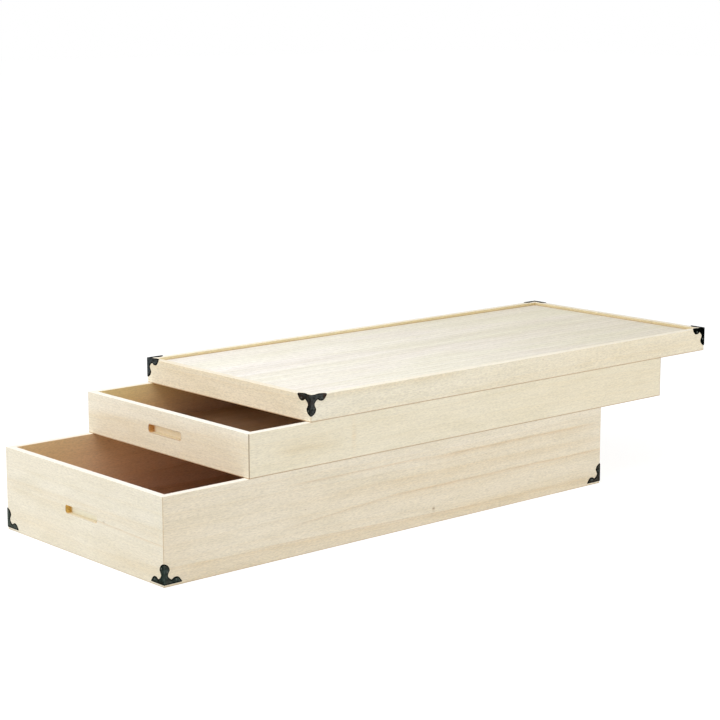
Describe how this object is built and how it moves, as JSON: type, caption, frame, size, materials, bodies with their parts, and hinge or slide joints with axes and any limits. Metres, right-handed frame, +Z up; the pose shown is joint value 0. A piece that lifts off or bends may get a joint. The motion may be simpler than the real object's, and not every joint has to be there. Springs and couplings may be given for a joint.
{
  "type": "paulownia clothing box",
  "caption": "Long low paulownia storage box: deep bottom box, shallow upper tray and lid, stacked rim on rim and sliding lengthwise, with black iron corner fittings and finger pulls.",
  "frame": {"origin": "middle of the bottom box's flat underside", "axes": "+X along the length, from the front end with the open steps to the back, +Y across to the far long side, +Z up"},
  "size_m": [1.1896, 0.4186, 0.24],
  "materials": {
    "paulownia": "planed and waxed, pale, matt",
    "brown_floor_board": "unfinished, matt",
    "key_wood": "sawn, hidden",
    "black_iron": "black, half matt"
  },
  "bodies": {
    "bottom_box": {"bottom_front_end": "paulownia", "bottom_back_end": "paulownia", "bottom_near_side": "paulownia", "bottom_far_side": "paulownia", "bottom_floor": "brown_floor_board", "bottom_corner_keys": "key_wood", "bottom_front_near_fitting": "black_iron", "bottom_front_far_fitting": "black_iron", "bottom_back_near_fitting": "black_iron", "bottom_back_far_fitting": "black_iron", "bottom_fitting_nails": "black_iron"},
    "upper_tray": {"tray_front_end": "paulownia", "tray_back_end": "paulownia", "tray_near_side": "paulownia", "tray_far_side": "paulownia", "tray_floor": "brown_floor_board", "tray_corner_keys": "key_wood"},
    "lid": {"lid_front_end": "paulownia", "lid_back_end": "paulownia", "lid_near_side": "paulownia", "lid_far_side": "paulownia", "lid_panel": "paulownia", "lid_corner_keys": "key_wood", "lid_front_near_fitting": "black_iron", "lid_front_far_fitting": "black_iron", "lid_back_near_fitting": "black_iron", "lid_back_far_fitting": "black_iron", "lid_fitting_nails": "black_iron"}
  },
  "joints": [
    {"name": "upper_tray_slide", "type": "slide", "parent": "bottom_box", "child": "upper_tray", "axis": [1, 0, 0], "range_m": [-0.154, 0.1]},
    {"name": "lid_slide", "type": "slide", "parent": "upper_tray", "child": "lid", "axis": [1, 0, 0], "range_m": [-0.117, 0.15]}
  ]
}
